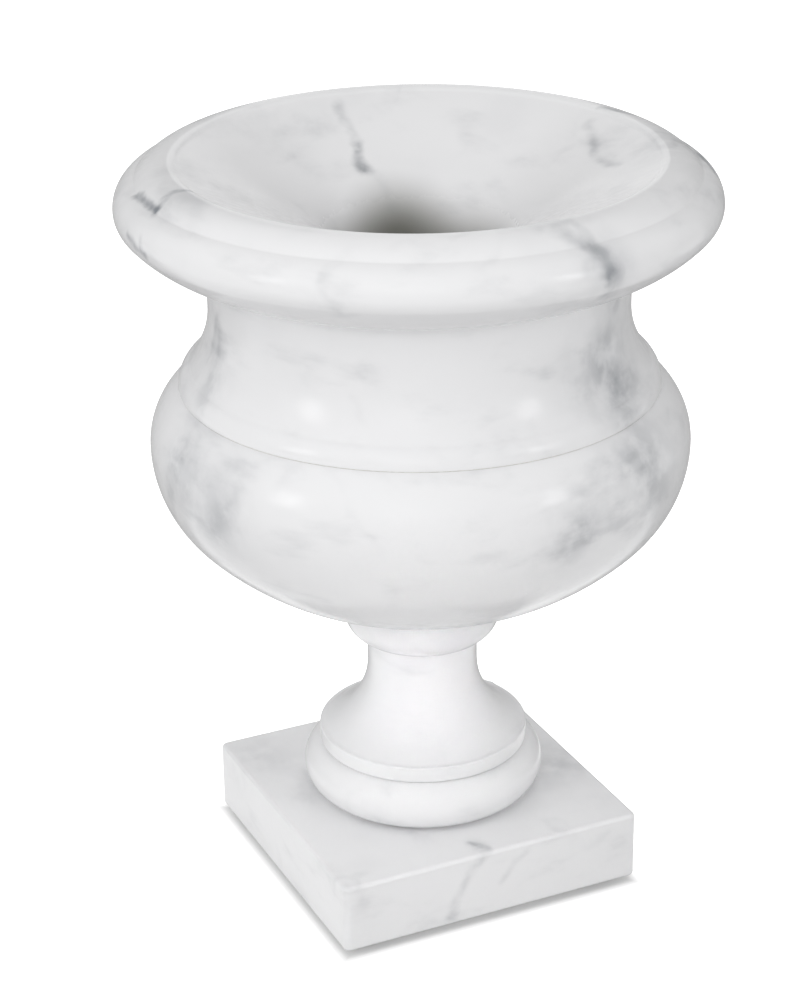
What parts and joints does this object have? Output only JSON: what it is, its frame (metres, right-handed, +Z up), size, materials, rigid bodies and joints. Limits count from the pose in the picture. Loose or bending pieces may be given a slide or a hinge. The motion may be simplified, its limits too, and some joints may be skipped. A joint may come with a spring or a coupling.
{
  "type": "vase",
  "caption": "White marble urn-shaped vase with an overhanging rim, bored well, turned foot and square plinth, held by a tie rod.",
  "frame": {"origin": "centre of the vase on the surface it stands on, at the underside of its rubber feet", "axes": "+Z up along the turning axis; +X and +Y square to the plinth's sides, so -Y is the plinth's front face"},
  "size_m": [0.2376, 0.2376, 0.3105],
  "materials": {
    "marble": "polished white marble with soft grey veins",
    "resin_bed": "cured stone resin",
    "zinc_steel": "zinc plated steel",
    "rubber_foot": "matt black rubber",
    "rubber_cushion": "matt black rubber"
  },
  "bodies": {
    "root": {"plinth": "marble", "foot_bed": "resin_bed", "foot": "marble", "collar_bed": "resin_bed", "collar": "marble", "bowl_bed": "resin_bed", "bowl": "marble", "neck_bed": "resin_bed", "neck_rim": "marble", "tie_rod": "zinc_steel", "lower_cushion": "rubber_cushion", "lower_washer": "zinc_steel", "lower_nut": "zinc_steel", "upper_cushion": "rubber_cushion", "upper_washer": "zinc_steel", "upper_nut": "zinc_steel", "pad_front_left": "rubber_foot", "pad_front_right": "rubber_foot", "pad_back_left": "rubber_foot", "pad_back_right": "rubber_foot"}
  },
  "joints": []
}
